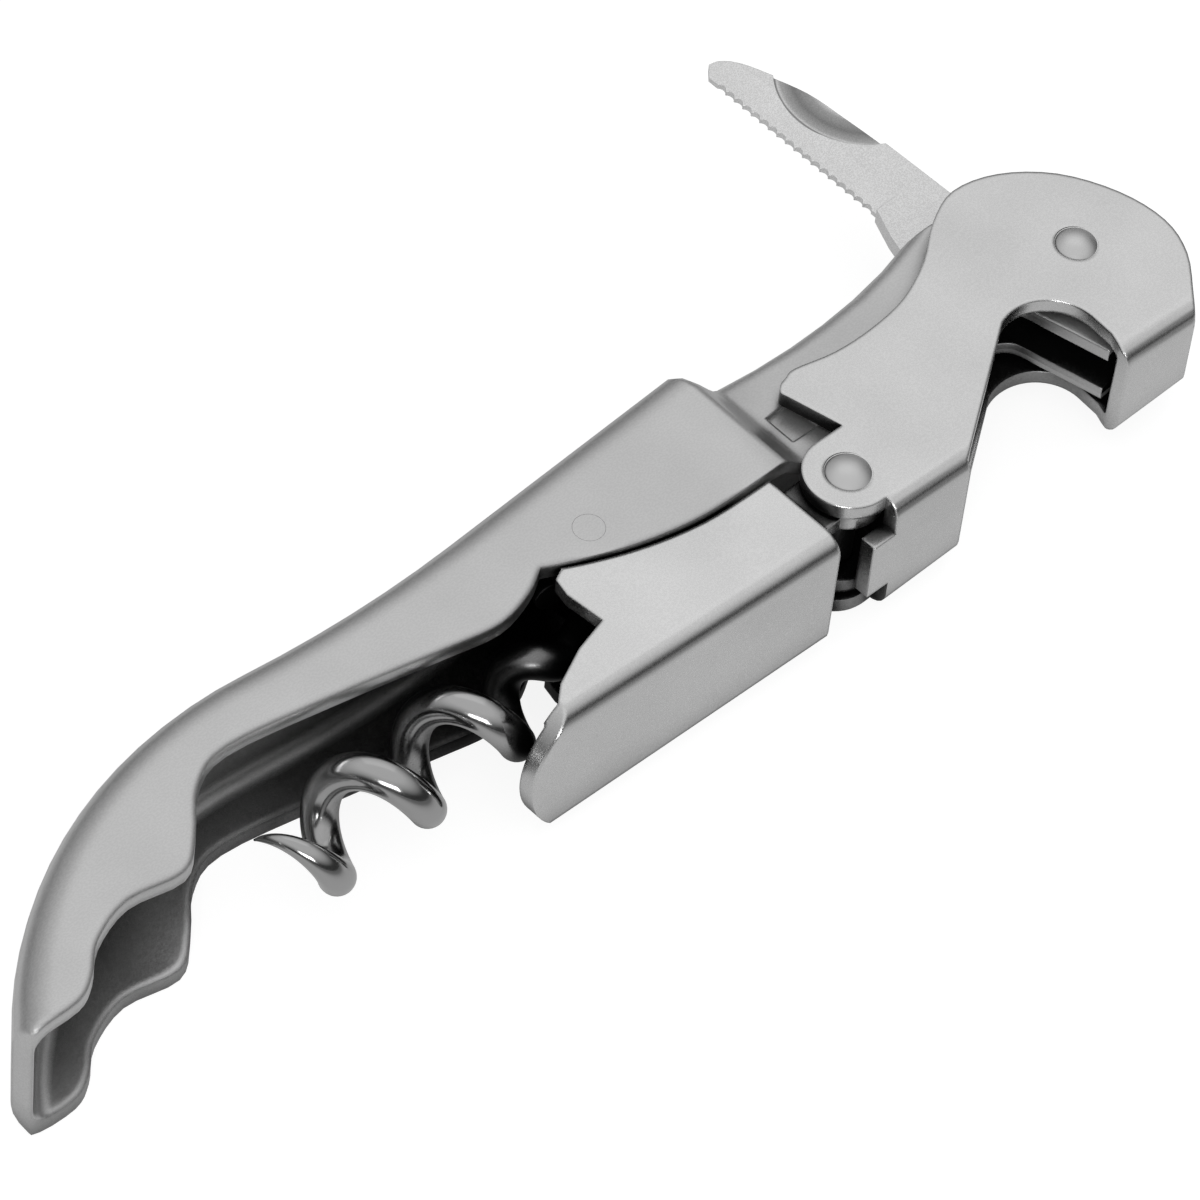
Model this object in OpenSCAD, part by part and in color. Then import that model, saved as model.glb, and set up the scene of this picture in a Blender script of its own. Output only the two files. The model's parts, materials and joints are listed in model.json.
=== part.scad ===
// Double-lever waiter's corkscrew lying on its side, lengths in millimetres.
// X runs from the claw to the head, Y from the worm side to the spine, Z across the folded channels.

/* [Handle] */
// Distance from the claw tip to the head rivet
body_l = 109.6; // [100:0.2:120]
// Width across the handle channel
handle_w = 14; // [12.6:0.1:15.4]
// Sheet of the handle channel
handle_sheet = 1.5; // [1.2:0.05:1.7]
// Bend between the handle's web and its flanges
handle_bend_r = 3; // [2.4:0.1:3.6]
// Radius of the claw's back
claw_r = 35.5; // [34:0.5:39]
// Height of the claw's crown over the tip
crown_h = 13.6; // [12.8:0.1:14.8]
// Radius of the hollow behind the claw
waist_r = 103; // [90:1:120]

/* [Neck] */
// Width of the neck where it leaves the handle
neck_root_w = 9.4; // [8.6:0.1:9.5]
// Width of the neck at the head
neck_w = 5.8; // [5.4:0.1:5.9]
// Sheet of the neck
neck_sheet = 1.2; // [1:0.05:1.3]
// Bend between the neck's back and its plates
neck_bend_r = 1.5; // [1.4:0.1:1.7]
// Radius of the neck's hollow back
neck_back_r = 66; // [60:1:75]
// Depth of the pocket pressed into the neck's near plate beside the hinge
pocket_depth = 0.2; // [0.1:0.05:0.3]
// Width of the slot that the knife folds into
slot_w = 2.4; // [2:0.1:2.8]

/* [Levers] */
// Sheet of both levers
lever_sheet = 1.4; // [1.2:0.05:1.45]
// Bend between a lever's web and its flanges
lever_bend_r = 1.7; // [1.6:0.1:2.2]
// Width of the first lever at the hinge
first_root_w = 12.6; // [12.5:0.1:13]
// Width of the first lever at the head rivet
first_head_w = 9.5; // [9.4:0.1:10]
// Radius of the first lever's hinge ears
ear_r = 3.55; // [3.2:0.05:3.6]
// Width of the web's tongue between the reliefs for the second lever's ears
web_tongue_w = 6; // [5:0.1:6.1]
// Radius of the crown cap notch
notch_r = 4.3; // [3.8:0.1:4.5]
// Width of the second lever at its tip
second_tip_w = 13.8; // [13:0.1:14]
// Width of the second lever beside the hinge
second_root_w = 12.8; // [12.4:0.1:13]
// Width across the second lever's inset ears
inset_w = 9.2; // [8.6:0.1:9.3]
// Radius of the second lever's inset ears
inset_r = 3.1; // [2.8:0.1:3.2]
// Plan radius of the second lever's thumb tongue
tongue_r = 8.25; // [7.8:0.05:9]

/* [Rivets] */
// Diameter of the head rivet's shank
head_rivet_d = 2.2; // [1.8:0.1:2.4]
// Diameter of the head rivet's domes
head_dome_d = 3.3; // [3:0.1:3.8]
// Diameter of the hinge rivet's shank
hinge_rivet_d = 2.4; // [2:0.1:2.6]
// Diameter of the hinge rivet's domes
hinge_dome_d = 3.6; // [3.2:0.1:4]
// Height of a rivet dome
dome_h = 0.6; // [0.4:0.05:0.62]

/* [Worm] */
// Wire of the worm
wire_d = 2.9; // [2.5:0.1:3.1]
// Outer diameter of the worm's coil
coil_d = 8.8; // [8:0.1:9.2]
// Advance of the worm in one turn
pitch = 9.1; // [8.4:0.1:9.8]
// Diameter of the worm's pin
worm_pin_d = 2.5; // [2.1:0.1:2.8]
// Outer diameter of the bushes beside the worm
bush_d = 5; // [4.4:0.1:5.6]

/* [Knife] */
// Distance from the knife's pivot to its tip
knife_l = 34; // [31:0.5:35]
// Width of the blade
blade_w = 5.5; // [5:0.1:6]
// Thickness of the blade's spine
blade_t = 1.5; // [1.3:0.05:1.6]
// Thickness left along the serrated edge
edge_t = 0.45; // [0.35:0.05:0.6]
// Width of the ground bevel
bevel_w = 2.2; // [1.8:0.1:2.6]
// Spacing of the serrations
tooth_pitch = 0.95; // [0.8:0.05:1.1]
// Radius of the knife's tang
tang_r = 4; // [3.6:0.1:4.4]
// Radius of the thumb nick
nick_r = 7; // [5.5:0.1:7.5]
// Depth of the thumb nick
nick_depth = 0.45; // [0.3:0.05:0.6]
// Outer diameter of the knife washers
washer_d = 6; // [5:0.1:7]

/* [Clearances] */
// Radial gap of a turning fit
turn_gap = 0.05; // [0.03:0.01:0.08]
// Radial gap of a seated pin
seat_gap = 0.02; // [0.01:0.01:0.04]
// Gap between faces that slide past each other
side_gap = 0.05; // [0.04:0.01:0.08]
// Gap between the closed second lever and the handle
seam_gap = 0.3; // [0.25:0.05:0.45]
// Gap between a dome and the edge of its seat
dome_gap = 0.1; // [0.06:0.02:0.14]

/* [Hidden] */
$fn = 64;

overrun = 20;
bend_steps = 5;
curve_steps = 4;

// Centres of the turning pieces, as shares of the body length
head_share = [1, 0.01];
hinge_share = [0.7235, -0.0338];
worm_share = [0.552, 0.0456];
head_at = body_l * head_share;
hinge_at = body_l * hinge_share;
worm_at = body_l * worm_share;

// Lower edge of the handle's flanges, from the claw tip to the cusp above the second lever
handle_edge_shares = [[0, -0.01], [0.037, -0.012], [0.057, -0.003], [0.078, 0.015],
    [0.114, 0.026], [0.157, 0.018], [0.182, 0.035], [0.21, 0.063], [0.246, 0.074], [0.328, 0.057],
    [0.411, 0.036], [0.452, 0.027], [0.484, 0.033], [0.504, 0.043]];
// Seam between the handle and the second lever
seam_shares = [[0.504, 0.043], [0.534, 0.028], [0.566, 0.015], [0.602, 0.005], [0.639, 0],
    [0.707, -0.002]];
// Lower edge of the neck's plates
neck_edge_shares = [[0.735, -0.002], [0.765, 0], [0.803, 0.006], [0.915, 0.016],
    [0.931, 0.012], [0.941, 0.003], [0.946, -0.016]];
pocket_shares = [[0.723, 0.017], [0.748, 0.044]];
// Rounded ends of the neck's plates, from their hanging corner to the back
lobe_shares = [[0.958, -0.065], [0.998, -0.061], [1.036, -0.044], [1.056, -0.009],
    [1.052, 0.031], [1.027, 0.068], [0.987, 0.091], [0.949, 0.098], [0.922, 0.101]];
// Top of the first lever, from the tooth above the hinge over the head to the beak
first_top_shares = [[0.739, 0.041], [0.738, 0.046], [0.743, 0.051], [0.75, 0.053],
    [0.761, 0.055], [0.794, 0.048],
    [0.83, 0.047], [0.867, 0.052], [0.903, 0.067], [0.934, 0.088], [0.967, 0.1], [1.004, 0.091],
    [1.038, 0.064], [1.06, 0.024], [1.066, -0.015], [1.055, -0.047], [1.029, -0.077],
    [1.018, -0.091]];
first_corner_share = [0.75, -0.002];
first_web_shares = [[0.69, -0.078], [1.08, -0.0915]];
first_web_start_share = 0.708;
web_relief_share = 0.728;
notch_end_a = 112;
ear_steps = 24;
dome_steps = 12;
beak_shares = [[0.953, -0.078], [0.958, -0.064]];
notch_share = [0.92, -0.044];
drop_share = [0.798, -0.077];
// Step, open tip and web of the second lever
second_tip_shares = [[0.515, 0.034], [0.506, 0.03], [0.503, 0.016], [0.506, -0.015],
    [0.477, -0.022], [0.447, -0.035], [0.435, -0.045], [0.395, -0.045]];
second_web_shares = [[0.397, -0.0583], [0.676, -0.0749]];
tongue_tip_share = 0.404;
// Spine of the knife as shares of the blade's width and the knife's length
knife_spine_shares = [[-1.05, 1], [-0.9, 0.988], [-0.709, 0.945], [-0.564, 0.888],
    [-0.345, 0.788], [-0.273, 0.682], [-0.218, 0.559], [-0.182, 0.356]];
knife_tang_shares = [[-1.49, 0.303], [-1.4, 0.353], [-1.255, 0.409], [-1.2, 0.43]];
edge_shares = [0.43, 0.975];
serration_share = 0.52;
nick_share = [0.4, 0.735];
nick_spine_share = -0.3;
nick_tilt_a = 6;
claw_centre_share = 0.246;
joggle_shares = [0.69, 0.718];
slot_start_share = 0.689;
neck_back_centre_share = 0.78;
neck_even_share = 0.885;
neck_low_share = 0.0853;

handle_half = handle_w / 2;
crown_a = 80.6;
claw_end_a = 144;
spine_slope_a = 1.43;
channel_depth_share = 1.2;
handle_depth = channel_depth_share * crown_h;
claw_centre = [body_l * claw_centre_share, crown_h - claw_r];

function unit(a) = [cos(a), sin(a)];
function ease(f) = let (g = min(max(f, 0), 1)) g * g * (3 - 2 * g);
function mix(a, b, f) = a + (b - a) * f;
function round_points(c, r, a0, a1, n) = [for (k = [0:n]) c + r * unit(mix(a0, a1, k / n))];
function bend_point(p0, p1, p2, p3, f) = (2 * p1 + (p2 - p0) * f + (2 * p0 - 5 * p1 + 4 * p2 - p3)
    * f * f + (3 * p1 - p0 - 3 * p2 + p3) * f * f * f) / 2;
// Smooth line through the points
function curve(p) = let (last = len(p) - 1) [
    for (i = [0:last - 1], k = [0:curve_steps - 1])
        bend_point(p[max(i - 1, 0)], p[i], p[i + 1], p[min(i + 2, last)], k / curve_steps),
    p[last]];

// Half of a folded channel's section, from its open edge over the bend to the middle of the web
function fold_points(half, depth, r, sheet, inside) = let (r1 = inside ? r - sheet : r,
    side = inside ? half - sheet : half) concat([[-depth, side]],
    [for (k = [0:bend_steps]) [-r + r1 * sin(90 * k / bend_steps),
        half - r + r1 * cos(90 * k / bend_steps)]]);
function mirrored(p) = [for (k = [len(p) - 1:-1:0]) [p[k][0], -p[k][1]]];
function channel_section(half, depth, r, sheet) = let (
    out = fold_points(half, depth, r, sheet, false), in = fold_points(half, depth, r, sheet, true))
    concat(out, mirrored(out), turned_back(concat(in, mirrored(in))));
function turned_back(p) = [for (k = [len(p) - 1:-1:0]) p[k]];
// The section stands at p, its web facing along the angle a
function channel_ring(p, a, half, depth, r, sheet) = [
    for (s = channel_section(half, depth, r, sheet))
        [p[0] + s[0] * cos(a), p[1] + s[0] * sin(a), s[1]]];

// Solid through a row of rings that have the same number of points
module loft(rings) {
    n = len(rings[0]);
    last = (len(rings) - 1) * n;
    sides = [for (k = [0:len(rings) - 2], j = [0:n - 1]) let (a = k * n + j, b = k * n + (j + 1) % n)
        each [[a, b, b + n], [a, b + n, a + n]]];
    caps = [for (j = [0:n / 2 - 2]) let (a = j, b = j + 1, c = n - 2 - j, d = n - 1 - j)
        each [[b, a, d], [b, d, c], [last + a, last + b, last + c], [last + a, last + c, last + d]]];
    polyhedron(points = [for (ring = rings) each ring], faces = concat(sides, caps), convexity = 10);
}

// Spine of the handle: claw arc, hollow waist and a straight run to the joggle
claw_steps = 16;
waist_steps = 6;
waist_centre = claw_centre + (claw_r + waist_r) * unit(crown_a);
straight_a = 90 + spine_slope_a;
waist_end = waist_centre - waist_r * unit(straight_a);
joggle_x = body_l * joggle_shares;
straight_end = [joggle_x[0], waist_end[1] + (joggle_x[0] - waist_end[0]) * tan(spine_slope_a)];

function neck_back_y(x) = body_l * neck_low_share + neck_back_r
    - sqrt(pow(neck_back_r, 2) - pow(x - body_l * neck_back_centre_share, 2));
function neck_half(x) = mix(neck_root_w, neck_w,
    min(max((x - joggle_x[1]) / (body_l * neck_even_share - joggle_x[1]), 0), 1)) / 2;

joggle_steps = 5;
neck_steps = 10;
lobe_end_share = 1.07;
neck_depth_share = 0.19;
neck_depth = body_l * neck_depth_share;
spine_rings = concat(
    [for (k = [0:claw_steps]) let (a = mix(claw_end_a, crown_a, k / claw_steps))
        channel_ring(claw_centre + claw_r * unit(a), a, handle_half, handle_depth,
            handle_bend_r, handle_sheet)],
    [for (k = [1:waist_steps]) let (a = mix(crown_a, straight_a, k / waist_steps))
        channel_ring(waist_centre - waist_r * unit(a), a, handle_half, handle_depth,
            handle_bend_r, handle_sheet)],
    [for (k = [0:joggle_steps]) let (f = k / joggle_steps, g = ease(f))
        channel_ring([mix(joggle_x[0], joggle_x[1], f),
                mix(straight_end[1], neck_back_y(joggle_x[1]), g)], 90,
            mix(handle_half, neck_root_w / 2, g), mix(handle_depth, neck_depth, g),
            mix(handle_bend_r, neck_bend_r, g), mix(handle_sheet, neck_sheet, g))],
    [for (k = [1:neck_steps])
        let (x = mix(joggle_x[1], body_l * lobe_end_share, k / neck_steps))
        channel_ring([x, neck_back_y(x)], 90, neck_half(x), neck_depth, neck_bend_r, neck_sheet)]);

// Outlines in the side view
seam = curve(body_l * seam_shares);
handle_edge = curve(body_l * handle_edge_shares);
first_top = curve(body_l * first_top_shares);
neck_lobe = curve(body_l * lobe_shares);
neck_edge = curve(body_l * neck_edge_shares);
tip_lean_share = -0.3;
tip_top = handle_edge[0] + overrun * [tip_lean_share, 1];
first_web = body_l * first_web_shares;
second_web = body_l * second_web_shares;
second_end_x = second_web[1][0];

knife_spine = curve([for (p = knife_spine_shares) [p[0] * blade_w, p[1] * knife_l]]);
knife_tang = [for (p = knife_tang_shares) [p[0] * blade_w, p[1] * knife_l]];
tang_turn = [62, -195];
edge_x = knife_tang[len(knife_tang) - 1][0];
edge_y = knife_l * edge_shares;

// Middle of the lying tool's outline
tip_back_share = 0.0055;
first_reach = max([for (p = first_top) p[0]]);
beak_end = first_top[len(first_top) - 1];
middle = [(handle_edge[0][0] - body_l * tip_back_share + first_reach) / 2,
    (head_at[1] + max([for (p = knife_spine) p[1]]) + beak_end[1]) / 2];

module lay() translate([-middle[0], -middle[1], handle_half]) children();
module at(p) translate([p[0], p[1], 0]) children();
// Prism of a side outline through the whole width
module through() translate([0, 0, -overrun]) linear_extrude(2 * overrun) children();
module both_sides() {
    children();
    mirror([0, 0, 1]) children();
}
module bore(p, d, gap) at(p) cylinder(h = 2 * overrun, r = d / 2 + gap, center = true);

module handle_outline() polygon(concat(
    [tip_top], handle_edge, seam, neck_edge, neck_lobe,
    [[neck_lobe[len(neck_lobe) - 1][0], tip_top[1]]]));

neck_low_cut_share = 0.06;
neck_low = body_l * neck_low_cut_share;
pocket = body_l * pocket_shares;
module handle_body() color("silver") lay() difference() {
    intersection() {
        loft(spine_rings);
        through() handle_outline();
    }
    translate([body_l * slot_start_share, neck_low, -slot_w / 2])
        cube([body_l, overrun, slot_w]);
    translate([pocket[0][0], pocket[0][1], neck_half(pocket[1][0]) - pocket_depth])
        cube([pocket[1][0] - pocket[0][0], pocket[1][1] - pocket[0][1], overrun]);
    bore(head_at, head_rivet_d, turn_gap);
    bore(worm_at, worm_pin_d, seat_gap);
}

// Widths of the levers between two stations, carried on to the ends of their blanks
function first_half(x) = mix(first_root_w, first_head_w,
    (x - hinge_at[0]) / (head_at[0] - hinge_at[0])) / 2;
function second_half(x) = mix(second_tip_w, second_root_w,
    (x - second_web[0][0]) / (second_end_x - second_web[0][0])) / 2;
lever_depth_share = 0.2;
lever_depth = body_l * lever_depth_share;

module first_outline() polygon(concat(
    round_points(hinge_at, ear_r, 270, 90, ear_steps),
    [body_l * first_corner_share], first_top,
    [[beak_end[0], -overrun], [body_l * beak_shares[0][0], -overrun]],
    body_l * beak_shares,
    round_points(body_l * notch_share, notch_r, 0, notch_end_a, ear_steps),
    [body_l * drop_share, [body_l * drop_share[0], -overrun],
        [body_l * first_web_start_share, -overrun],
        [body_l * first_web_start_share, hinge_at[1] - ear_r]]));

// Flat seats under the domes, cut into the leaning faces
module dome_seat(p, d, seat) both_sides() at(p) translate([0, 0, seat])
    cylinder(h = overrun, r = d / 2 + dome_gap);
head_seat = first_half(head_at[0] + head_dome_d / 2 + dome_gap);
hinge_seat = first_half(hinge_at[0] + hinge_dome_d / 2 + dome_gap);

module first_lever() color("lightgray") lay() difference() {
    intersection() {
        loft([for (k = [1, 0]) channel_ring(first_web[k], 270, first_half(first_web[k][0]),
            lever_depth, lever_bend_r, lever_sheet)]);
        through() first_outline();
    }
    bore(head_at, head_rivet_d, seat_gap);
    bore(hinge_at, hinge_rivet_d, seat_gap);
    dome_seat(head_at, head_dome_d, head_seat);
    dome_seat(hinge_at, hinge_dome_d, hinge_seat);
    both_sides() translate([0, hinge_at[1] - ear_r - overrun, web_tongue_w / 2])
        cube([body_l * web_relief_share, overrun, overrun]);
}

module second_outline() intersection() {
    polygon(concat([for (p = seam) p - [0, seam_gap]],
        [[body_l, -overrun], [0, -overrun], seam[0] - [body_l, seam_gap]]));
    polygon(concat(body_l * second_tip_shares,
        [[body_l * second_tip_shares[7][0], -overrun], [second_end_x, -overrun],
            [second_end_x, overrun], [body_l * second_tip_shares[0][0], overrun]]));
}
// Thumb tongue seen from the web side
module tongue_plan() translate([0, overrun, 0]) rotate([90, 0, 0]) linear_extrude(2 * overrun) {
    translate([body_l * tongue_tip_share + tongue_r, 0]) circle(r = tongue_r);
    translate([body_l * tongue_tip_share + tongue_r, -overrun]) square([body_l, 2 * overrun]);
}
// Ears that step in from the flanges to turn between the first lever's ears
inset_steps_share = [1.12, 1.32];
ear_rise_share = 0.85;
ear_drop_share = 0.62;
inset_half = inset_w / 2;
inset_bed = second_half(second_end_x) - lever_sheet / 2;
bed_half = lever_sheet / 3;
inset_bend_x = hinge_at[0] - inset_r * inset_steps_share[1];
inset_start_x = second_end_x - lever_sheet;
module inset_plan() polygon([[inset_start_x, inset_bed - bed_half],
    [second_end_x - bed_half, inset_bed - bed_half], [inset_bend_x, inset_half - lever_sheet],
    [hinge_at[0] + inset_r, inset_half - lever_sheet], [hinge_at[0] + inset_r, inset_half],
    [inset_bend_x, inset_half], [second_end_x, inset_bed + bed_half],
    [inset_start_x, inset_bed + bed_half]]);
module inset_outline() {
    at(hinge_at) circle(r = inset_r);
    translate([inset_start_x, hinge_at[1] - inset_r * ear_drop_share])
        square([hinge_at[0] - inset_start_x, inset_r * (ear_drop_share + ear_rise_share)]);
}

module second_lever() color("gainsboro") lay() difference() {
    union() {
        intersection() {
            loft([for (k = [1, 0]) channel_ring(second_web[k], 270, second_half(second_web[k][0]),
                lever_depth, lever_bend_r, lever_sheet)]);
            through() second_outline();
            tongue_plan();
        }
        both_sides() intersection() {
            translate([0, overrun, 0]) rotate([90, 0, 0]) linear_extrude(2 * overrun) inset_plan();
            through() inset_outline();
        }
    }
    bore(hinge_at, hinge_rivet_d, turn_gap);
}

// Worm: one unbroken tube from the eye through the shank and the coil to the point
eye_bite_share = 0.15;
wire_r = wire_d / 2;
eye_r = worm_pin_d / 2 + turn_gap + wire_r * (1 - eye_bite_share);
coil_r = (coil_d - wire_d) / 2;
coil_start_share = 0.426;
coil_axis_share = 0.009;
turn_step = 15;
turn_start = (body_l * coil_start_share - worm_at[0]) / pitch * 360;
turn_end = 855;
eye_open_a = 165;
eye_close_a = -75;
curl_turns = [-330, -90];
drop_turn = 300;
point_turn = 150;
tip_share = 0.06;
point_power = 0.7;
wire_sides = 12;
function worm_point(t) = let (r = coil_r * ease((t - curl_turns[0]) / (curl_turns[1] - curl_turns[0])),
    y = mix(worm_at[1] - eye_r, body_l * coil_axis_share, ease((t - turn_start) / drop_turn)))
    [body_l * coil_start_share - pitch * t / 360, y - r * cos(t), r * sin(t)];
worm_turns = [for (t = [turn_start:turn_step:turn_end]) t];
// The wire curls round its pin before it runs into the shank
eye_line = [for (a = [eye_open_a:-turn_step:eye_close_a])
    [worm_at[0] + eye_r * cos(a), worm_at[1] + eye_r * sin(a), 0]];
worm_line = concat(eye_line, [for (t = worm_turns) worm_point(t)]);
worm_last = len(worm_line) - 1;
worm_heading = [for (k = [0:worm_last])
    let (d = worm_line[min(k + 1, worm_last)] - worm_line[max(k - 1, 0)]) d / norm(d)];
function squared(n, t) = let (d = n - (n * t) * t) d / norm(d);
worm_side = [for (k = 0, n = squared([0, 0, 1], worm_heading[0]); k <= worm_last; k = k + 1,
    n = squared(n, worm_heading[min(k, worm_last)])) n];
function wire_size(t) = wire_r * max(tip_share, min(1, pow((turn_end - t) / point_turn, point_power)));
worm_size = [for (k = [0:worm_last]) wire_size(worm_turns[max(k - len(eye_line), 0)])];
worm_rings = [for (k = [0:worm_last]) let (n = worm_side[k], b = cross(worm_heading[k], n))
    [for (j = [0:wire_sides - 1]) let (a = -360 * j / wire_sides)
        worm_line[k] + worm_size[k] * (n * cos(a) + b * sin(a))]];
half_turn = 180 / turn_step;
coil_first = len(eye_line) + ceil((curl_turns[1] - turn_start) / turn_step);
worm_self_gap = min([for (i = [coil_first:worm_last - half_turn], j = [i + half_turn:worm_last])
    norm(worm_line[i] - worm_line[j]) - worm_size[i] - worm_size[j]]);
echo(worm_self_gap = worm_self_gap);

module worm() color("whitesmoke") lay() difference() {
    loft(worm_rings);
    bore(worm_at, worm_pin_d, turn_gap);
}

module worm_pin() color("gray") lay() at(worm_at)
    cylinder(h = handle_w, r = worm_pin_d / 2, center = true);

module sleeve(from, to, d, bore_d) translate([0, 0, from]) difference() {
    cylinder(h = to - from, r = d / 2);
    translate([0, 0, -overrun]) cylinder(h = 2 * overrun, r = bore_d / 2 + turn_gap);
}
module worm_bush() at(worm_at)
    sleeve(wire_r + side_gap, handle_half - handle_sheet - side_gap, bush_d, worm_pin_d);
module worm_bush_near() color("darkgray") lay() worm_bush();
module worm_bush_far() color("darkgray") lay() mirror([0, 0, 1]) worm_bush();

module knife_outline() difference() {
    polygon(concat(knife_spine, round_points([0, 0], tang_r, tang_turn[0], tang_turn[1], ear_steps),
        knife_tang, [[edge_x, edge_y[1]]]));
    for (y = [edge_y[0] + tooth_pitch:tooth_pitch:edge_y[1] - tooth_pitch])
        translate([edge_x - tooth_pitch / 4, y]) circle(r = tooth_pitch * serration_share, $fn = 24);
}
module bevel_plan() polygon([[edge_x - overrun, edge_t / 2], [edge_x, edge_t / 2],
    [edge_x + bevel_w, blade_t / 2], [edge_x + bevel_w, overrun], [edge_x - overrun, overrun]]);
// The nick's floor leans down towards the spine, where it has its full depth
nick_floor = blade_t / 2 - nick_depth
    - blade_w * (nick_share[0] - nick_spine_share) * tan(nick_tilt_a);
module knife() color("darkgray") lay() at(head_at) difference() {
    translate([0, 0, -blade_t / 2]) linear_extrude(blade_t) knife_outline();
    both_sides() translate([0, edge_y[1] + overrun, 0]) rotate([90, 0, 0])
        linear_extrude(edge_y[1] - edge_y[0] + overrun) bevel_plan();
    translate([blade_w * nick_share[0], knife_l * nick_share[1], nick_floor])
        rotate([0, nick_tilt_a, 0]) cylinder(h = overrun, r = nick_r);
    cylinder(h = overrun, r = head_rivet_d / 2 + turn_gap, center = true);
}

module knife_washer() at(head_at)
    sleeve(blade_t / 2 + side_gap, neck_w / 2 - neck_sheet - side_gap, washer_d, head_rivet_d);
module knife_washer_near() color("darkgray") lay() knife_washer();
module knife_washer_far() color("darkgray") lay() mirror([0, 0, 1]) knife_washer();

// Half of a rivet's outline: shank, seat and the low dome over it
function dome_points(dome_d, seat) = let (ball_r = (pow(dome_d / 2, 2) + pow(dome_h, 2)) / (2 * dome_h))
    round_points([0, seat + dome_h - ball_r], ball_r, 90, asin(1 - dome_h / ball_r), dome_steps);
module rivet(shank_d, dome_d, seat) rotate_extrude() {
    half = concat(dome_points(dome_d, seat), [[shank_d / 2, seat]]);
    polygon(concat(half, [for (k = [len(half) - 1:-1:0]) [half[k][0], -half[k][1]]]));
}
module head_rivet() color("silver") lay() at(head_at) rivet(head_rivet_d, head_dome_d, head_seat);
module hinge_rivet() color("silver") lay() at(hinge_at)
    rivet(hinge_rivet_d, hinge_dome_d, hinge_seat);

handle_body();
first_lever();
second_lever();
worm();
worm_pin();
worm_bush_near();
worm_bush_far();
knife();
knife_washer_near();
knife_washer_far();
head_rivet();
hinge_rivet();
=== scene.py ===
"""Double-lever corkscrew in satin steel, lying on its side under soft studio light. Lengths in metres."""
import json
import math

import bmesh
import bpy
from mathutils import Matrix, Vector


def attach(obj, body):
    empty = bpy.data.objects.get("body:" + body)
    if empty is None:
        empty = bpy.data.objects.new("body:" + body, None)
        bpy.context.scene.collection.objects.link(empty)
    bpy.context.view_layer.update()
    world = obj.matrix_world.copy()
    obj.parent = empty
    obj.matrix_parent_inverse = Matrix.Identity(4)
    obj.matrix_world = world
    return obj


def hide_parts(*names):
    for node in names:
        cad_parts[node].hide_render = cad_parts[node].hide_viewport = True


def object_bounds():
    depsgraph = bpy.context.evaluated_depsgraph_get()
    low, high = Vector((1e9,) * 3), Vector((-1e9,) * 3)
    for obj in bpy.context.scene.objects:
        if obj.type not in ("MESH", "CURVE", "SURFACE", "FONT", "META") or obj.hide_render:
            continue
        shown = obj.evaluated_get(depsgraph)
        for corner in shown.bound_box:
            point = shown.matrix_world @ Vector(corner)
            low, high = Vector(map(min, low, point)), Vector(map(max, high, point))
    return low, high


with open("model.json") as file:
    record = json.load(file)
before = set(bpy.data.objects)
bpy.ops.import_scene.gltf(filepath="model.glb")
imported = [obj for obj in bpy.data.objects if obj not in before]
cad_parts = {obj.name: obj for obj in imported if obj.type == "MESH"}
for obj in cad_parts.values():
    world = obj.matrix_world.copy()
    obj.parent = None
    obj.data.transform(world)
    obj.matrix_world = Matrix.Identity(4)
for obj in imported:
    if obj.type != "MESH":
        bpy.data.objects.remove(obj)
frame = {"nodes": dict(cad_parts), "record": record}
CAD_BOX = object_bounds()

# Camera, solved from the outlines of the two flanges
CAMERA_PLACE = Vector((-0.260573, -0.231958, 0.458509))
CAMERA_RIGHT = Vector((0.712999, -0.697508, 0.071522))
CAMERA_UP = Vector((0.526549, 0.6, 0.602284))
SENSOR_MM = 36.0
LENS_MM = 227.911
CLIP_START = 0.01

# Floor: its gap under the object, its glow for the camera and for the steel that mirrors it, the
# distances along y over which the mirrored glow fades, and its own colour
FLOOR_SIDE = 6.0
FLOOR_GAP = 0.0001
FLOOR_GLOW = 0.88
FLOOR_GLOSS_GLOW = 0.39
FLOOR_FADE = (0.02, 0.075)
FLOOR_PALE = 0.28

# Sky: height and brightness, from straight down at 0 over the horizon at 0.5 to straight up at 1, in
# front and at the back, and the headings along y between which the front becomes the back
SKY_FRONT = ((0.0, 0.3), (0.48, 0.05), (0.62, 0.05), (0.78, 0.5), (0.9, 0.74))
SKY_BACK = ((0.0, 0.3), (0.5, 0.3), (0.75, 0.5), (0.9, 0.74))
SKY_TURN = (-0.1, 0.5)

# Steel: slow clouds of tone, and fine grain. A stop is a place in the noise and a share of the shade or
# roughness. Specks are full below the first place and gone at the second
CLOUD_SCALE = 120.0
CLOUD_DETAIL = 3.0
CLOUD_TONE = ((0.3, 0.94), (0.7, 1.03))
GRAIN_SCALE = 7000.0
GRAIN_DETAIL = 2.0
GRAIN_ROUGH = ((0.25, 0.82), (0.75, 1.18))
GRAIN_HEIGHT = 0.00002
SPECK_DARK, SPECK_CLEAR = 0.42, 0.6

# Painted shade: the colour of steel darkens where a point is closed in, and its roughness rises there
# Hollows: how far around a point is searched, and how open it is where each effect is full and none
HOLLOW_REACH = 0.012
HOLLOW_SAMPLES = 16
HOLLOW_DARK, HOLLOW_LIGHT = 0.38, 0.68
HOLLOW_DULL, HOLLOW_CLEAN = 0.34, 0.7
HOLLOW_ROUGH = 0.35

# Edges: those under an angle are smooth, and the others look rounded by a radius. The handle's radius
# falls where it becomes the neck, between two places along x, and is 0 near the flush worm pin
EDGE_ANGLE = math.radians(32)
EDGE_ROUND = 0.0003
EDGE_SAMPLES = 12
NECK_AT = (0.012, 0.014)
PIN_CLEAR = (0.0022, 0.0032)

# The neck: how much of a hollow's painted shade falls on its outer faces, and how far from its middle
# these begin
NECK_DEPTH = 0.35
NECK_SKIN = 0.0024
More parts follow.
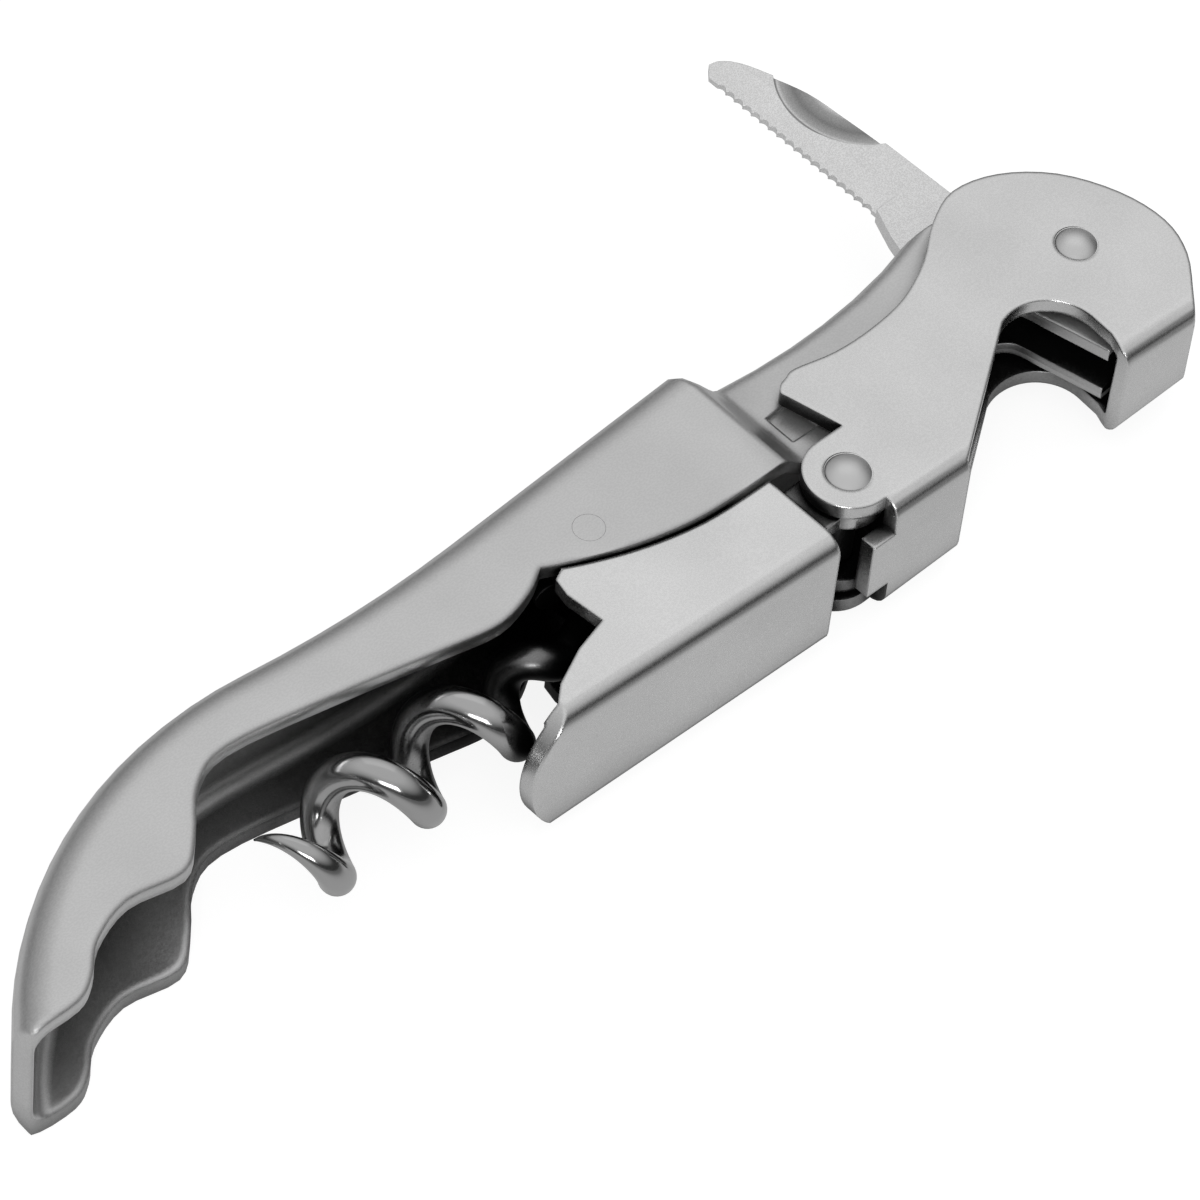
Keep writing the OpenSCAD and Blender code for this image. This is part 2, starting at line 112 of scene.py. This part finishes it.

# The knife's thumb nick: its centre from the pivot, its radius, and its painted shade and highlight by
# distance in radii: pale middle, dark hollow, bright lip, dark rim line, then the plain blade
NICK_CENTRE = Vector((0.0022, 0.025, 0))
NICK_R = 0.007
NICK_PAINTED_LIGHT = ((0.55, 0.95), (0.62, 0.55), (0.78, 0.34), (0.92, 0.62), (0.955, 0.95), (0.975, 0.3),
             (1.0, 1.0))

# The first lever: radius of its hinge ears, how far their level edge runs past the hinge, and half the
# width of the tongue between them
EAR_R = 0.00355
EAR_PAST = 0.0006
TONGUE_HALF = 0.003

# Tolerances on meshes in metres, and as a number of decimals and a share of an edge
WELD = 0.000002
ON_HINGE = 0.000001
ON_LINE = 0.0000005
BEYOND = 0.0000002
DECIMALS = 6
SEAM_END = 0.001

# The worm in millimetres and degrees, as in the CAD, about the axis of its pin. EYE_BITE is the share
# of the wire's radius that the bore takes off inside the eye
MM_PER_METRE = 1000
WIRE_R = 1.45
COIL_R = 2.95
PITCH = 9.1
COIL_START_X = -13.81
COIL_AXIS_Y = -4.011
BORE_R = 1.3
EYE_BITE = 0.15
EYE_R = BORE_R + WIRE_R * (1 - EYE_BITE)
EYE_TURNS = (165, -75)
CURL_TURNS = (-330, -90)
DROP_TURN = 300
POINT_TURN = 150
POINT_POWER = 0.7
POINT_LEAST = 0.06
TURN_END = 855
TURN_STEP = 4
WIRE_SIDES = 32


def joint_place(name):
    joints = frame["record"]["behaviour"]["joints"]
    return Vector(next(joint["pos_m"] for joint in joints if joint["name"] == name))


def nodes(*names):
    return [frame["nodes"][name] for name in names]


def node(tree, kind, inputs=None, **settings):
    """A new node. An input is either a value or another node's output, which is linked to it."""
    made = tree.nodes.new(kind)
    for name, value in settings.items():
        setattr(made, name, value)
    for name, value in (inputs or {}).items():
        if isinstance(value, bpy.types.NodeSocket):
            tree.links.new(value, made.inputs[name])
        else:
            made.inputs[name].default_value = value
    return made


def calculate(tree, operation, *values):
    return node(tree, "ShaderNodeMath", dict(enumerate(values)), operation=operation).outputs[0]


def ramp(tree, value, stops):
    """Grey that changes with a value, through stops of place and shade."""
    made = node(tree, "ShaderNodeValToRGB", {"Fac": value})
    elements = made.color_ramp.elements
    while len(elements) < len(stops):
        elements.new(0.5)
    for element, (place, shade) in zip(elements, stops):
        element.position = place
        element.color = (shade, shade, shade, 1.0)
    return made.outputs["Color"]


def scaled_ramp(tree, value, stops, scale):
    """The same, with shades given as shares of a scale."""
    return ramp(tree, value, [(place, scale * share) for place, share in stops])


def change(tree, value, span, before=0.0, after=1.0, **settings):
    """A number that goes from `before` to `after` while the value goes over its span."""
    ends = {"Value": value, "From Min": span[0], "From Max": span[1], "To Min": before, "To Max": after}
    return node(tree, "ShaderNodeMapRange", ends, **settings).outputs["Result"]


def multiply(tree, first, second, factor=1.0):
    mixed = node(tree, "ShaderNodeMix", {"Factor": factor, "A": first, "B": second},
                 data_type="RGBA", blend_type="MULTIPLY")
    return mixed.outputs["Result"]


def place_on(tree, kind="Object"):
    return node(tree, "ShaderNodeTexCoord").outputs[kind]


def one_axis(tree, place, axis):
    return node(tree, "ShaderNodeSeparateXYZ", {0: place}).outputs[axis]


def distance(tree, centre, unit=1.0):
    """Distance in the xy plane from a point, as a multiple of a unit."""
    away = node(tree, "ShaderNodeVectorMath", {0: place_on(tree), 1: centre}, operation="SUBTRACT")
    flat = node(tree, "ShaderNodeVectorMath", {0: away.outputs[0], 1: (1 / unit, 1 / unit, 0)},
                operation="MULTIPLY")
    return node(tree, "ShaderNodeVectorMath", {0: flat.outputs[0]}, operation="LENGTH").outputs["Value"]


def noise(tree, scale, detail, stretch):
    """Noise in object space, stretched by three factors so that it can run as grain."""
    mapping = node(tree, "ShaderNodeMapping", {"Vector": place_on(tree), "Scale": stretch})
    made = node(tree, "ShaderNodeTexNoise",
                {"Vector": mapping.outputs["Vector"], "Scale": scale, "Detail": detail})
    return made.outputs["Fac"]


def along_neck(tree, before, after):
    """A number that changes along x where the handle becomes its neck."""
    return change(tree, one_axis(tree, place_on(tree), "X"), NECK_AT, before, after)


def under_skin(tree):
    """1 between the neck's plates, where the painted hollow shade stays full, and 0 on their outer faces.
    """
    away = calculate(tree, "SUBTRACT", one_axis(tree, place_on(tree), "Z"), joint_place("worm_pivot").z)
    return calculate(tree, "LESS_THAN", calculate(tree, "ABSOLUTE", away), NECK_SKIN)


def edge_normal(tree, rounded, neck):
    """Normals that round the edges. On the handle, less along the neck and not at all at the pin."""
    edge = node(tree, "ShaderNodeBevel", {"Radius": rounded}, samples=EDGE_SAMPLES)
    if neck:
        off_pin = change(tree, distance(tree, joint_place("worm_pivot")), PIN_CLEAR)
        radius = calculate(tree, "MULTIPLY", along_neck(tree, rounded, EDGE_ROUND), off_pin)
        tree.links.new(radius, edge.inputs["Radius"])
    return edge.outputs["Normal"]


def steel(name, shade, rough, grain, bump, speck=0.0, hollow=0.02, nick=False, rounded=EDGE_ROUND,
          neck=False):
    """Bare steel: grain in roughness and relief, faint tone clouds, painted shade and duller where
    enclosed.
    """
    material = bpy.data.materials.new(name)
    material.use_nodes = True
    tree = material.node_tree
    color = scaled_ramp(tree, noise(tree, CLOUD_SCALE, CLOUD_DETAIL, (1.0, 1.0, 1.0)), CLOUD_TONE, shade)
    fine = noise(tree, GRAIN_SCALE, GRAIN_DETAIL, grain)
    roughness = scaled_ramp(tree, fine, GRAIN_ROUGH, rough)
    if speck:
        color = multiply(tree, color, ramp(tree, fine, [(SPECK_DARK, 1.0 - speck), (SPECK_CLEAR, 1.0)]))
    # Painted shade and highlight of the curved thumb nick, by distance from its centre
    if nick:
        from_nick = distance(tree, joint_place("knife_pivot") + NICK_CENTRE, NICK_R)
        color = multiply(tree, color, ramp(tree, from_nick, NICK_PAINTED_LIGHT))
    # Painted shade in hollows: the colour darkens as a point is closed in, less on the neck's outer faces
    if hollow:
        shelter = node(tree, "ShaderNodeAmbientOcclusion", {"Distance": HOLLOW_REACH},
                       samples=HOLLOW_SAMPLES)
        open_share = shelter.outputs["AO"]
        painted_hollow_shade = ramp(tree, open_share, [(HOLLOW_DARK, hollow), (HOLLOW_LIGHT, 1.0)])
        amount = 1.0
        if neck:
            amount = calculate(tree, "MAXIMUM", along_neck(tree, 1.0, NECK_DEPTH), under_skin(tree))
        color = multiply(tree, color, painted_hollow_shade, amount)
        dull = ramp(tree, open_share, [(HOLLOW_DULL, HOLLOW_ROUGH), (HOLLOW_CLEAN, 0.0)])
        roughness = calculate(tree, "ADD", roughness, dull)
    relief = node(tree, "ShaderNodeBump", {"Strength": bump, "Distance": GRAIN_HEIGHT, "Height": fine})
    if rounded:
        tree.links.new(edge_normal(tree, rounded, neck), relief.inputs["Normal"])
    shader = tree.nodes["Principled BSDF"]
    shader.inputs["Metallic"].default_value = 1.0
    tree.links.new(color, shader.inputs["Base Color"])
    tree.links.new(roughness, shader.inputs["Roughness"])
    tree.links.new(relief.outputs["Normal"], shader.inputs["Normal"])
    return material


def smooth_by_angle():
    """Modifier tree: faces are smooth, edges sharper than EDGE_ANGLE stay sharp."""
    tree = bpy.data.node_groups.new("smooth_by_angle", "GeometryNodeTree")
    tree.interface.new_socket("Geometry", in_out="INPUT", socket_type="NodeSocketGeometry")
    tree.interface.new_socket("Geometry", in_out="OUTPUT", socket_type="NodeSocketGeometry")
    start = node(tree, "NodeGroupInput")
    faces = node(tree, "GeometryNodeSetShadeSmooth", {"Geometry": start.outputs[0]}, domain="FACE")
    angle = node(tree, "GeometryNodeInputMeshEdgeAngle")
    sharp = node(tree, "FunctionNodeCompare", {"A": angle.outputs["Unsigned Angle"], "B": EDGE_ANGLE},
                 data_type="FLOAT", operation="GREATER_THAN")
    edges = node(tree, "GeometryNodeSetShadeSmooth",
                 {"Geometry": faces.outputs[0], "Selection": sharp.outputs[0], "Shade Smooth": False},
                 domain="EDGE")
    node(tree, "NodeGroupOutput", {0: edges.outputs[0]})
    return tree


def dress(pieces, material):
    for piece in pieces:
        piece.data.materials.clear()
        piece.data.materials.append(material)
        piece.modifiers.new("weld", "WELD").merge_threshold = WELD
        piece.modifiers.new("smooth", "NODES").node_group = SMOOTH
        piece.modifiers.new("level", "WEIGHTED_NORMAL").keep_sharp = True


def new_piece(name, mesh):
    piece = bpy.data.objects.new(name, mesh)
    bpy.context.collection.objects.link(piece)
    return piece


def remove_film(shape, hinge):
    """Cut the level faces at the tongue, the hinge and each other's corners, and delete the film."""
    def level(vert):
        return abs(vert.co.y - hinge.y + EAR_R) < WELD and vert.co.x < hinge.x + EAR_PAST

    def level_faces():
        return [face for face in shape.faces if all(level(vert) for vert in face.verts)]

    def cut(place, normal):
        parts = dict.fromkeys(part for face in level_faces() for part in (face, *face.edges, *face.verts))
        bmesh.ops.bisect_plane(shape, geom=list(parts), plane_co=place, plane_no=normal, dist=ON_LINE)

    for side in (-TONGUE_HALF, TONGUE_HALF):
        cut(hinge + Vector((0, 0, side)), (0, 0, 1))
    cut(hinge, (1, 0, 0))
    heights = {round(vert.co.z, DECIMALS) for vert in shape.verts
               if level(vert) and abs(vert.co.x - hinge.x) < ON_HINGE}
    for height in sorted(heights):
        cut(Vector((0, 0, height)), (0, 0, 1))
    film = []
    for face in level_faces():
        middle = face.calc_center_median()
        if middle.x < hinge.x - BEYOND and abs(middle.z - hinge.z) > TONGUE_HALF + BEYOND:
            film.append(face)
    bmesh.ops.delete(shape, geom=film, context="FACES")


def weld(shape):
    bmesh.ops.remove_doubles(shape, verts=shape.verts, dist=WELD)


def split_seams(shape):
    """Split each open edge at the corner of another that lies on it, so that the two can be welded."""
    seams = [edge for edge in shape.edges if len(edge.link_faces) == 1]
    corners = [vert for edge in seams for vert in edge.verts]
    for edge in seams:
        start = edge.verts[0]
        run = edge.verts[1].co - start.co
        for corner in corners:
            share = (corner.co - start.co).dot(run) / run.length_squared
            inside = SEAM_END < share < 1 - SEAM_END
            if inside and (start.co + share * run - corner.co).length < ON_LINE:
                bmesh.utils.edge_split(edge, start, share)
                break


def trimmed_lever():
    """The first lever without the film of no thickness that the CAD leaves under its hinge ears."""
    shape = bmesh.new()
    shape.from_mesh(frame["nodes"]["first_lever"].data)
    weld(shape)
    remove_film(shape, joint_place("second_lever_hinge"))
    weld(shape)
    split_seams(shape)
    weld(shape)
    mesh = bpy.data.meshes.new("first_lever_trimmed")
    shape.to_mesh(mesh)
    shape.free()
    piece = new_piece("first_lever_trimmed", mesh)
    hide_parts("first_lever")
    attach(piece, "first_lever")
    return piece


def ease(f):
    g = min(max(f, 0.0), 1.0)
    return g * g * (3 - 2 * g)


def worm_line():
    """Middle of the wire and its radius, from the eye through the shank and coil to the point."""
    line = []
    for angle in range(EYE_TURNS[0], EYE_TURNS[1] - 1, -TURN_STEP):
        a = math.radians(angle)
        line.append((Vector((EYE_R * math.cos(a), EYE_R * math.sin(a), 0)), WIRE_R))
    start = COIL_START_X / PITCH * 360
    turn = start
    while turn < TURN_END:
        a = math.radians(turn)
        r = COIL_R * ease((turn - CURL_TURNS[0]) / (CURL_TURNS[1] - CURL_TURNS[0]))
        y = -EYE_R + (COIL_AXIS_Y + EYE_R) * ease((turn - start) / DROP_TURN)
        size = WIRE_R * max(POINT_LEAST, min(1, ((TURN_END - turn) / POINT_TURN) ** POINT_POWER))
        place = (COIL_START_X - PITCH * turn / 360, y - r * math.cos(a), r * math.sin(a))
        line.append((Vector(place), size))
        turn += TURN_STEP
    return line


def smooth_worm(material):
    """The CAD's worm with more sides and steps, on the same line, kept out of the eye's bore."""
    pin = joint_place("worm_pivot")
    line = worm_line()
    last = len(line) - 1
    side = Vector((0, 0, 1))
    points = []
    for k, (middle, size) in enumerate(line):
        heading = (line[min(k + 1, last)][0] - line[max(k - 1, 0)][0]).normalized()
        side = (side - side.dot(heading) * heading).normalized()
        across = heading.cross(side)
        for j in range(WIRE_SIDES):
            a = 2 * math.pi * j / WIRE_SIDES
            point = middle + size * (side * math.cos(a) + across * math.sin(a))
            reach = math.hypot(point.x, point.y)
            if reach < BORE_R:
                point.x *= BORE_R / reach
                point.y *= BORE_R / reach
            points.append(pin + point / MM_PER_METRE)
    faces = []
    for k in range(last):
        for j in range(WIRE_SIDES):
            a = k * WIRE_SIDES + j
            b = k * WIRE_SIDES + (j + 1) % WIRE_SIDES
            faces.append((a, b, b + WIRE_SIDES, a + WIRE_SIDES))
    faces.append(tuple(range(WIRE_SIDES - 1, -1, -1)))
    faces.append(tuple(last * WIRE_SIDES + j for j in range(WIRE_SIDES)))
    mesh = bpy.data.meshes.new("bright_worm")
    mesh.from_pydata(points, [], faces)
    mesh.polygons.foreach_set("use_smooth", [len(face) == 4 for face in faces])
    mesh.materials.append(material)
    piece = new_piece("bright_worm", mesh)
    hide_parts("worm")
    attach(piece, "worm")


def floor_material():
    """Pale and matt. It glows for the camera, and for steel, where the glow fades away from y = 0."""
    material = bpy.data.materials.new("floor")
    material.use_nodes = True
    tree = material.node_tree
    tree.nodes.remove(tree.nodes["Principled BSDF"])
    path = node(tree, "ShaderNodeLightPath")
    seen = calculate(tree, "MULTIPLY", path.outputs["Is Camera Ray"], FLOOR_GLOW)
    away = calculate(tree, "ABSOLUTE", one_axis(tree, place_on(tree), "Y"))
    fade = change(tree, away, FLOOR_FADE, FLOOR_GLOSS_GLOW, 0.0, interpolation_type="SMOOTHSTEP")
    strength = calculate(tree, "MULTIPLY_ADD", path.outputs["Is Glossy Ray"], fade, seen)
    matt = node(tree, "ShaderNodeBsdfDiffuse", {"Color": (FLOOR_PALE, FLOOR_PALE, FLOOR_PALE, 1)})
    glow = node(tree, "ShaderNodeEmission", {"Strength": strength})
    both = node(tree, "ShaderNodeAddShader", {0: matt.outputs[0], 1: glow.outputs[0]})
    tree.links.new(both.outputs[0], tree.nodes["Material Output"].inputs["Surface"])
    return material


def floor():
    half = FLOOR_SIDE / 2
    mesh = bpy.data.meshes.new("floor")
    mesh.from_pydata([(-half, -half, 0), (half, -half, 0), (half, half, 0), (-half, half, 0)], [],
                     [(0, 1, 2, 3)])
    mesh.materials.append(floor_material())
    piece = new_piece("floor", mesh)
    piece.location.z = CAD_BOX[0][2] - FLOOR_GAP


def sky():
    """White for the camera. For light and reflections a soft dome, bright overhead and dark in front."""
    world = bpy.data.worlds.new("studio")
    bpy.context.scene.world = world
    world.use_nodes = True
    tree = world.node_tree
    heading = place_on(tree, "Generated")
    height = change(tree, one_axis(tree, heading, "Z"), (-1.0, 1.0))
    turned = change(tree, one_axis(tree, heading, "Y"), SKY_TURN, interpolation_type="SMOOTHSTEP")
    dome = node(tree, "ShaderNodeMix", {"Factor": turned, "A": ramp(tree, height, SKY_FRONT),
                                        "B": ramp(tree, height, SKY_BACK)}, data_type="RGBA")
    path = node(tree, "ShaderNodeLightPath")
    shown = node(tree, "ShaderNodeMix", {"Factor": path.outputs["Is Camera Ray"],
                                         "A": dome.outputs["Result"], "B": (1.0, 1.0, 1.0, 1.0)},
                 data_type="RGBA")
    tree.links.new(shown.outputs["Result"], tree.nodes["Background"].inputs["Color"])


def softbox(name, place, size, power):
    """A rectangular lamp that faces the origin."""
    lamp = bpy.data.lights.new(name, "AREA")
    lamp.shape = "RECTANGLE"
    lamp.size, lamp.size_y = size
    lamp.energy = power
    piece = new_piece(name, lamp)
    piece.location = place
    piece.rotation_euler = (-Vector(place)).to_track_quat("-Z", "Y").to_euler()


def camera():
    data = bpy.data.cameras.new("camera")
    data.sensor_width = SENSOR_MM
    data.lens = LENS_MM
    data.clip_start = CLIP_START
    right = CAMERA_RIGHT.normalized()
    back = right.cross(CAMERA_UP).normalized()
    up = back.cross(right)
    turn = Matrix((right, up, back)).transposed()
    piece = new_piece("camera", data)
    piece.matrix_world = Matrix.Translation(CAMERA_PLACE) @ turn.to_4x4()
    bpy.context.scene.camera = piece


camera()
floor()
sky()
softbox("key", place=(0.4, 0.33, 0.6), size=(0.7, 0.7), power=0.23)
softbox("side", place=(-0.5, -0.45, 0.3), size=(0.35, 0.15), power=1.6)

SMOOTH = smooth_by_angle()
dress(nodes("handle_body", "worm_pin"),
      steel("satin_steel", shade=0.66, rough=0.34, grain=(0.7, 1.0, 1.0), bump=0.05, speck=0.09,
            rounded=0.001, neck=True))
dress([trimmed_lever()] + nodes("second_lever"),
      steel("lever_steel", shade=0.77, rough=0.25, grain=(1.0, 1.0, 1.0), bump=0.05, speck=0.09,
            rounded=0.0004))
smooth_worm(steel("bright_wire", shade=0.48, rough=0.15, grain=(0.3, 1.0, 1.0), bump=0.03, hollow=0.04,
                  rounded=0))
dress(nodes("knife"),
      steel("blasted_steel", shade=0.93, rough=0.42, grain=(1.5, 1.5, 1.5), bump=0.35, speck=0.22,
            hollow=0, nick=True, rounded=EDGE_ROUND / 5))
dress(nodes("head_rivet", "hinge_rivet"),
      steel("rivet_steel", shade=0.68, rough=0.36, grain=(1.0, 1.0, 1.0), bump=0.05, rounded=0))
dress(nodes("worm_bush_near", "worm_bush_far", "knife_washer_near", "knife_washer_far"),
      steel("inner_steel", shade=0.6, rough=0.35, grain=(1.0, 1.0, 1.0), bump=0.1, rounded=0))

bpy.context.scene.view_settings.view_transform = "Standard"
